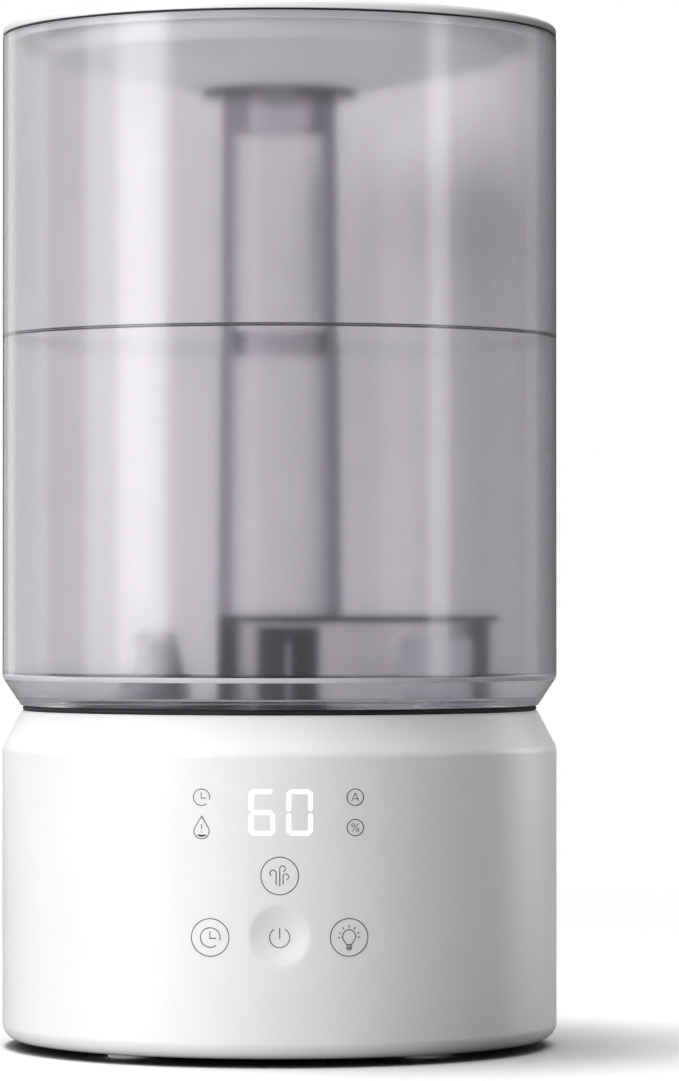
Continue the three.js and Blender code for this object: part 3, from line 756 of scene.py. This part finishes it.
tankFloor = {
    "plate": [(0, 101.3), (71.0, 101.3), (71.0, 104.3, 0.3), (0, 104.3)],
    "skirt": [(68.8, 98.3, 0.4), (70.8, 98.3, 0.4), (70.8, 101.8), (68.8, 101.8)],
    "chimney": [(0, 126), (18.6, 126), (18.6, 128), (17.75, 206.5), (17.7, 210.8, 0.6), (0, 210.8)],
    # plates: left, right, front, back, low, high, corner
    "chamber": (-18.6, 62, -30, 30, 101.8, 127.6, 15),
    "chamberLip": (-18.6, 64.3, -31.8, 31.8, 126, 128, 16),
    "hollow": (-16.1, 59.5, -27.5, 27.5, 97, 125.7, 12.5),
    # rods: radius, low, high, steps, x
    "bore": (14.6, 120, 211.8, 96), "socket": (14.9, 205, 212, 96), "valveHole": (9, 100, 106, 64, -37),
    # heights where the finish changes
    "wallFoot": 104.6, "lipLow": 125.9, "chimneyFoot": 128, "lipTop": 129, "collarFoot": 206.4,
    "boreRadius": 15,
}


def floorFinish(place):
    # number of the finish for a face whose middle is here
    f = tankFloor
    if place.z > f["collarFoot"]:
        return 3
    if place.z > f["chimneyFoot"] and math.hypot(place.x, place.y) < f["boreRadius"]:
        return 4
    # the chamber lip gets the near-black tint, painted shade for a dark edge line
    if f["lipLow"] < place.z < f["lipTop"]:
        return 2
    return 1 if f["wallFoot"] < place.z < f["lipTop"] else 0


def makeTankFloor():
    f = tankFloor
    lip = roundedPlate(*f["chamberLip"])
    softenEdges(lip, 0.35, 60)
    whole = combined(
        turned(f["plate"], 144, closed=False),
        added=[turned(f["skirt"], 144), roundedPlate(*f["chamber"]), lip,
               turned(f["chimney"], 96, closed=False)],
        cutAway=[roundedPlate(*f["hollow"]), rod(*f["bore"]), rod(*f["socket"]), rod(*f["valveHole"])])
    for face in whole.faces:
        face.material_index = floorFinish(face.calc_center_median() / mm)
    finishPiece(whole, "tankFloor", "smokeInner smokeDense smokeRim smokeCollar smokeClear", "tank",
                ["tank_floor"], 30)


valve = {
    "x": -37,
    "cap": [(0, 99), (8.6, 99, 0.4), (8.6, 104.5), (10.7, 104.5, 0.4), (10.7, 108.2, 0.5), (9.2, 109.2, 0.5),
            (6, 121.8, 0.6), (5, 122.8, 0.4), (0, 122.8)],
    "capHollow": [(0, 98), (5.4, 98), (5.4, 102), (7.4, 102.8), (7.4, 108.8), (4.7, 120.8), (0, 120.8)],
    "window": (3, 12, -1.8, 1.8, 110.5, 118), "windows": 4,
    "plunger": [(0, 97.8), (1.6, 97.8, 0.4), (1.6, 106.9), (6.7, 106.9, 0.3), (6.7, 108.3, 0.3), (1.6, 108.3),
                (1.6, 119.5, 0.4), (0, 119.5)],
    "washer": [(1.8, 105.4, 0.3), (6.6, 105.4, 0.4), (6.6, 106.8, 0.3), (1.8, 106.8, 0.3)],
}


def makeValve():
    x = valve["x"]
    cap = turned(valve["cap"], 48, closed=False, x=x)
    hollow = turned(valve["capHollow"], 48, closed=False, x=x)
    cuts = [hollow, *cutsAround(valve["window"], valve["windows"], x=x)]
    finishPiece(combined(cap, cutAway=cuts), "valveCap", "smokeTank", "tank", ["valve_body"])
    finishPiece(turned(valve["plunger"], 40, closed=False, x=x), "valvePlunger", "whiteInner",
                "plunger", ["valve_plunger"])
    finishPiece(turned(valve["washer"], 40, x=x), "valveWasher", "milkySilicone", "plunger",
                ["valve_washer"])


splashGuide = {
    "x": 2.4,
    "wall": [(9.2, 76.1, 0.3), (12.8, 76.1, 0.3), (12.8, 77.6, 0.3), (10.7, 77.6, 0.3), (9.4, 86, 1),
             (9.4, 124.6, 0.4), (7.9, 124.6, 0.4), (7.9, 86, 1), (9.2, 77.6)],
    "opening": (5, 14, -3, 3, 78.6, 87), "openings": 3, "firstOpening": 30,
    "slotHalf": 0.5, "slotLow": 101.5, "slotHigh": 120,
}


def makeSplashGuide():
    # slotted dark tube that stands over the mist disc, inside the foot of the chimney
    g = splashGuide
    x, half = g["x"], g["slotHalf"]
    cuts = cutsAround(g["opening"], g["openings"], g["firstOpening"], x)
    cuts.append(block(x - half, x + half, -12, 12, g["slotLow"], g["slotHigh"]))
    finishPiece(combined(turned(g["wall"], 64, x=x), cutAway=cuts), "splashGuide", "blackMoulding", "base",
                ["splash_guide"])


makeSplashGuide()
makeTankShell()
makeTankFloor()
makeValve()
print("tank made")


# lid and mist way

lid = {
    "dish": [(82.5, 300.4, 0.3), (82.5, 303.0, 1.5), (69.4, 303.0, 0.7), (67.9, 297.0, 3.2),
             (19.6, 287.2, 0.8), (17.4, 287.4, 0.5), (17.4, 297.0, 0.7), (15.3, 297.0, 0.4),
             (15.3, 284.3, 0.3), (23.5, 284.3, 0.6), (70.2, 293.8, 4.6), (70.2, 299.4, 0.5),
             (71.2, 300.4, 0.3), (77.4, 300.4), (77.4, 297.8, 0.4), (79.3, 297.8, 0.5), (79.3, 300.4)],
    "drain": (20.2, 22.4, -4, 4, 280, 296), "drains": 4, "firstDrain": 45,  # at the foot of the hub
    "gasket": [(80, 299.85, 0.1), (82.25, 299.85, 0.12), (82.25, 300.35, 0.12), (80, 300.35, 0.1)],
}


def makeLid():
    drains = cutsAround(lid["drain"], lid["drains"], lid["firstDrain"])
    dish = combined(turned(lid["dish"], 192), cutAway=drains)
    finishPiece(dish, "lidDish", "whiteMatt", "lid", ["lid_dish"], 30)
    finishPiece(turned(lid["gasket"], 160), "lidGasket", "blackSilicone", "lid",
                ["lid_gasket"])


mistWay = {
    "collar": [(11.5, 271.6, 0.3), (13.3, 271.6, 0.3), (13.3, 282, 0.3), (22.4, 282, 0.5), (23.2, 282.9, 0.4),
               (23.2, 284, 0.3), (15, 284), (15, 289, 0.4), (13, 289, 0.3), (13, 284), (11.5, 282)],
    "collarFoot": 272,
    "tube": [(12.4, 205.2, 0.3), (14.3, 205.2, 0.3), (14.3, 211.2), (17.4, 211.2, 0.4), (17.0, 281.8, 0.4),
             (13.6, 281.8, 0.3), (13.6, 212.4, 0.4), (12.4, 211.2, 0.3)],
    "tubeInside": 14,
}


def makeMistTube():
    collar = turned(mistWay["collar"], 96)
    # painted shade: the thin lower rim gets the near-black tint for a dark edge line
    for face in collar.faces:  # the thin lower rim is darker
        if face.calc_center_median().z < mistWay["collarFoot"] * mm:
            face.material_index = 1
    finishPiece(collar, "nozzleCollar", "smokeCollar smokeRim", "lid",
                ["nozzle_collar"])
    tube = turned(mistWay["tube"], 96)
    for face in tube.faces:  # the tint is all in the outer skin
        place = face.calc_center_median()
        if math.hypot(place.x, place.y) < mistWay["tubeInside"] * mm:
            face.material_index = 1
    finishPiece(tube, "mistTube", "smokeInner smokeClear", "lid",
                ["mist_tube"])


nozzle = {
    "outside": [(0, 288.6), (20.5, 288.6, 0.4), (20.5, 305.4, 2.4), (6, 305.4), (0, 305.1)],
    "inside": [(0, 288), (18.1, 288), (18.1, 297.3), (15.3, 297.3), (15.3, 302, 1.0), (0, 302)],
    "mouth": (-9.5, 9.5, -14.5, -5.5, 300, 307, 4),
    "edge": 0.35,
}


def makeNozzle():
    cuts = [turned(nozzle["inside"], 96, closed=False), roundedPlate(*nozzle["mouth"])]
    whole = combined(turned(nozzle["outside"], 96, closed=False), cutAway=cuts)
    softenEdges(whole, nozzle["edge"], 50)
    finishPiece(whole, "nozzleCap", "whiteMatt", "nozzle", ["nozzle_cap"], 30)


makeLid()
makeMistTube()
makeNozzle()
print("lid made")


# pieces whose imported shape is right: a copy with its doubles merged and its edges broken

refined = [
    ("water_tray", "waterTray", "whiteInner", 0.5), ("air_duct", "airDuct", "whiteInner", 0.5),
    ("bottom_cover", "bottomCover", "whiteMatt", 0.35),
    ("float", "levelFloat", "whiteInner", 0.4), ("float_cap", "floatCap", "whiteInner", 0.25),
    ("fan_frame", "fanFrame", "blackMoulding", 0.3), ("fan_rotor", "fanRotor", "blackMoulding", 0.25),
    ("dc_jack", "powerInlet", "blackMoulding", 0.25), ("night_light_lens", "nightLightLens", "milkyLens", 0.4),
    ("fan_seal", "fanSeal", "blackSilicone", 0.3), ("heat_sink", "heatSink", "aluminium", 0.2),
    ("transducer_clamp", "transducerClamp", "aluminium", 0.25),
    ("transducer_disc", "transducerDisc", "steel", 0.15),
    ("transducer_seal", "transducerSeal", "blackSilicone", 0.2),
]


def refinePiece(nodeName, name, materialName, width):
    source = nodes[nodeName]
    bm = bmesh.new()
    bm.from_mesh(source.data)
    bmesh.ops.remove_doubles(bm, verts=bm.verts, dist=weld["packed"])
    bmesh.ops.dissolve_limit(bm, angle_limit=math.radians(1), verts=bm.verts, edges=bm.edges)
    softenEdges(bm, width)
    smoothByAngle(bm, 34)
    piece = meshToObject(bm, name)
    piece.data.materials.append(materials[materialName])
    keepFacesFlat(piece)
    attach(piece, source["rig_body"])
    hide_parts(nodeName)


for row in refined:
    refinePiece(*row)

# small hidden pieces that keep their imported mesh
keptFinishes = {
    "steel": ["clamp_screw_1", "clamp_screw_2", "clamp_screw_3", "board_screw_1", "board_screw_2",
              "valve_spring", "float_magnet"],
    "board": ["driver_board", "display_board", "humidity_sensor", "level_sensor", "night_light_board"],
    "blackMoulding": ["digit_display", "indicator_shroud_left", "indicator_shroud_right", "capacitor"],
    "copper": ["inductor", "touch_spring_mist", "touch_spring_power", "touch_spring_timer",
               "touch_spring_light"],
    "cableSleeve": ["fan_lead", "transducer_lead", "display_lead", "jack_lead"],
}
for materialName, nodeNames in keptFinishes.items():
    for nodeName in nodeNames:
        slots = nodes[nodeName].data.materials
        slots.clear()
        slots.append(materials[materialName])
print("inner pieces finished")


# floor, light and camera

studio = {"floorSize": 24.0, "floorSeen": 0.93, "floorBounce": 0.2, "whiteFrom": 0.35, "whiteTo": 0.9,
          "zenith": 2.0, "zenithFrom": 0.76, "zenithTo": 0.94, "fill": 0.05, "backdrop": 1.0}


def makeFloor():
    # the floor is seen pale, but throws only part of its light back at the object
    bm = bmesh.new()
    bmesh.ops.create_grid(bm, x_segments=4, y_segments=4, size=studio["floorSize"] / 2)
    floor = meshToObject(bm, "studioFloor")
    material, tree, shader = startMaterial("paleFloor")
    rays = addNode(tree, "ShaderNodeLightPath").outputs
    direct = addNode(tree, "ShaderNodeMath", {0: rays["Is Camera Ray"], 1: rays["Is Transmission Ray"]},
                     operation="MAXIMUM").outputs["Value"]
    feed(tree, shader, {
        "Base Color": twoTone(tree, direct, (studio["floorBounce"],) * 3, (studio["floorSeen"],) * 3),
        "Roughness": spread(tree, objectNoise(tree, 60, 3), 0.85, 0.95), "Specular IOR Level": 0.1})
    # further out the floor goes over into the white of the backdrop
    distance = addNode(tree, "ShaderNodeVectorMath", {0: ownSpace(tree)}, operation="LENGTH").outputs["Value"]
    sweep = spread(tree, distance, 0, 1, studio["whiteFrom"], studio["whiteTo"], "SMOOTHSTEP")
    whitened = addNode(tree, "ShaderNodeMath", {0: sweep, 1: direct}, operation="MULTIPLY").outputs["Value"]
    glow = addNode(tree, "ShaderNodeEmission", {"Color": (1, 1, 1), "Strength": studio["backdrop"]})
    mixShaders(tree, whitened, shader.outputs["BSDF"], glow.outputs["Emission"])
    floor.data.materials.append(material)


def makeWorld():
    # white backdrop; the room's own light comes mostly from a broad ceiling softbox
    world = bpy.data.worlds.new("studio")
    bpy.context.scene.world = world
    world.use_nodes = True
    tree = world.node_tree
    direction = addNode(tree, "ShaderNodeTexCoord").outputs["Generated"]
    up = addNode(tree, "ShaderNodeSeparateXYZ", {"Vector": direction}).outputs["Z"]
    ceiling = spread(tree, up, studio["fill"], studio["zenith"], studio["zenithFrom"], studio["zenithTo"])
    rays = addNode(tree, "ShaderNodeLightPath").outputs
    seen = addNode(tree, "ShaderNodeMath", {0: rays["Is Camera Ray"], 1: rays["Is Transmission Ray"]},
                   operation="MAXIMUM").outputs["Value"]
    level = addNode(tree, "ShaderNodeMix", {0: seen, 2: ceiling, 3: studio["backdrop"]}, data_type="FLOAT")
    feed(tree, tree.nodes["Background"], {"Color": (1, 1, 1), "Strength": level.outputs[0]})


softboxes = [
    # name, place, aimed at, width, height, power, shows in gloss, lights matt surfaces, what it may light
    ("keyStrip", (-1.357, -0.848, 0.62), (0, 0, 0.62), 0.6, 1.24, 6.6, True, False, "object"),
    ("keyHalo", (-1.54, -0.72, 0.64), (0, 0, 0.64), 1.25, 1.26, 10.5, True, False, "object"),
    ("keySide", (-1.44, -0.70, 0.5), (0, 0, 0.12), 0.6, 0.9, 6.1, False, True, "sides"),
    ("keyFront", (-0.90, -1.32, 0.2), (0, 0, 0.1), 0.7, 0.4, 17.6, False, True, "object"),
    ("topBox", (-0.5, -0.3, 2.0), (0, 0, 0.2), 0.5, 0.5, 9, False, True, "object"),
    ("backBox", (0.2, 1.7, 0.8), (0, 0, 0.15), 0.8, 0.8, 10, False, True, "object"),
    ("rightStrip", (1.38, -0.586, 0.5), (0, 0, 0.5), 0.26, 0.96, 2.4, True, False, "object"),
    ("rimStrip", (1.24, 0.66, 0.4), (0, 0, 0.3), 0.3, 0.8, 8.5, False, True, "sides"),
    ("baseRim", (1.212, 0.70, 0.3), (0, 0, 0.08), 0.5, 0.7, 4.6, True, False, "base"),
    ("rightBackStrip", (1.133, 0.823, 0.5), (0, 0, 0.5), 0.3, 0.98, 0.4, True, False, "object"),
    ("leftEdgeStrip", (-0.75, 1.36, 0.5), (0, 0, 0.5), 0.6, 0.98, 1.0, True, False, "object"),
    ("leftBackStrip", (-1.19, 1.0, 0.5), (0, 0, 0.5), 1.2, 0.98, 3.0, True, False, "object"),
    ("rimFront", (-0.5, -1.2, 1.4), (0, 0, 0.3), 0.4, 0.4, 10, False, True, "lid"),
    ("dishGlow", (0, 0, 0.15), (0, 0, 0.29), 0.12, 0.12, 0.1, False, True, "lid"),
    ("floorBox", (-0.21, -0.02, 2.05), (0, 0, 0), 0.42, 0.42, 26, False, True, "floor"),
]


# what each group of lamps may light: all but these pieces, or these alone
lampReach = {"object": ("EXCLUDE", ["studioFloor"]), "sides": ("EXCLUDE", ["studioFloor", "lidDish"]),
             "floor": ("INCLUDE", ["studioFloor"]), "lid": ("INCLUDE", ["lidDish"]),
             "base": ("INCLUDE", ["baseHousing"])}


def makeLights():
    reach = {}
    for name, (state, pieces) in lampReach.items():
        reach[name] = bpy.data.collections.new(name + "Lit")
        for piece in pieces:
            reach[name].objects.link(bpy.data.objects[piece])
        for entry in reach[name].collection_objects:
            entry.light_linking.link_state = state
    for name, place, target, width, height, power, inGloss, onMatt, lights in softboxes:
        light = bpy.data.lights.new(name, "AREA")
        light.shape = "RECTANGLE"
        light.size = width
        light.size_y = height
        light.energy = power
        lamp = bpy.data.objects.new(name, light)
        lamp.location = place
        lamp.rotation_euler = (Vector(target) - Vector(place)).to_track_quat("-Z", "Y").to_euler()
        lamp.visible_camera = False
        lamp.visible_glossy = inGloss
        lamp.visible_transmission = inGloss
        lamp.visible_diffuse = onMatt
        lamp.light_linking.receiver_collection = reach[lights]
        bpy.context.scene.collection.objects.link(lamp)


backCard = {"y": 0.42, "width": 1.6, "height": 1.1,
            "left": 1.0, "right": 0.5, "fallFrom": -0.01, "fallTo": 0.08,  # brightness, and where it falls off
            # soft patches: centre, half width and height, how much darker (below zero is lighter)
            "patches": [((0.098, 0.281), (0.075, 0.048), 0.62), ((0.051, 0.28), (0.028, 0.042), 0.48),
                        ((0.09, 0.325), (0.17, 0.085), -0.9)]}


def makeBackCard():
    # soft grey card behind the tank, only seen through it; lighter on the key side
    card = backCard
    bm = bmesh.new()
    bmesh.ops.create_grid(bm, x_segments=8, y_segments=4, size=0.5)
    bmesh.ops.scale(bm, verts=bm.verts, vec=(card["width"], card["height"], 1))
    turnMesh(bm, 90, "X")
    bmesh.ops.translate(bm, verts=bm.verts, vec=(0, card["y"], card["height"] / 2))
    piece = meshToObject(bm, "backCard")
    material = bpy.data.materials.new("greyCard")
    material.use_nodes = True
    tree = material.node_tree
    tree.nodes.remove(tree.nodes["Principled BSDF"])
    place = ownSpace(tree)
    across = addNode(tree, "ShaderNodeSeparateXYZ", {"Vector": place}).outputs["X"]
    level = spread(tree, across, card["left"], card["right"], card["fallFrom"], card["fallTo"], "SMOOTHSTEP")
    for (x, z), (halfWidth, halfHeight), depth in card["patches"]:
        centre = addNode(tree, "ShaderNodeMapping", {
            "Vector": place, "Location": (x, card["y"], z), "Scale": (halfWidth, 1, halfHeight)},
            vector_type="TEXTURE")
        patch = addNode(tree, "ShaderNodeTexGradient", {"Vector": centre.outputs["Vector"]},
                        gradient_type="QUADRATIC_SPHERE")
        level = addNode(tree, "ShaderNodeMath", {0: patch.outputs["Fac"], 1: -depth, 2: level},
                        operation="MULTIPLY_ADD").outputs["Value"]
    glow = addNode(tree, "ShaderNodeEmission", {"Color": (1, 1, 1), "Strength": level})
    feed(tree, tree.nodes["Material Output"], {"Surface": glow.outputs["Emission"]})
    piece.data.materials.append(material)
    piece.visible_camera = False
    piece.visible_diffuse = False
    piece.visible_glossy = False
    piece.visible_shadow = False


# distance and height in metres, turns in degrees
camera = {"distance": 1.6, "height": 0.1344, "lens": 178.6, "panRight": 0.639, "tiltUp": 0.566}


def makeCamera():
    data = bpy.data.cameras.new("camera")
    data.lens = camera["lens"]
    data.clip_end = 100
    thing = bpy.data.objects.new("camera", data)
    thing.location = (0, -camera["distance"], camera["height"])
    thing.rotation_euler = (math.radians(90 + camera["tiltUp"]), 0, -math.radians(camera["panRight"]))
    bpy.context.scene.collection.objects.link(thing)
    bpy.context.scene.camera = thing


makeFloor()
makeWorld()
makeLights()
makeBackCard()
makeCamera()
bpy.context.scene.view_settings.view_transform = "Standard"
print("studio made")
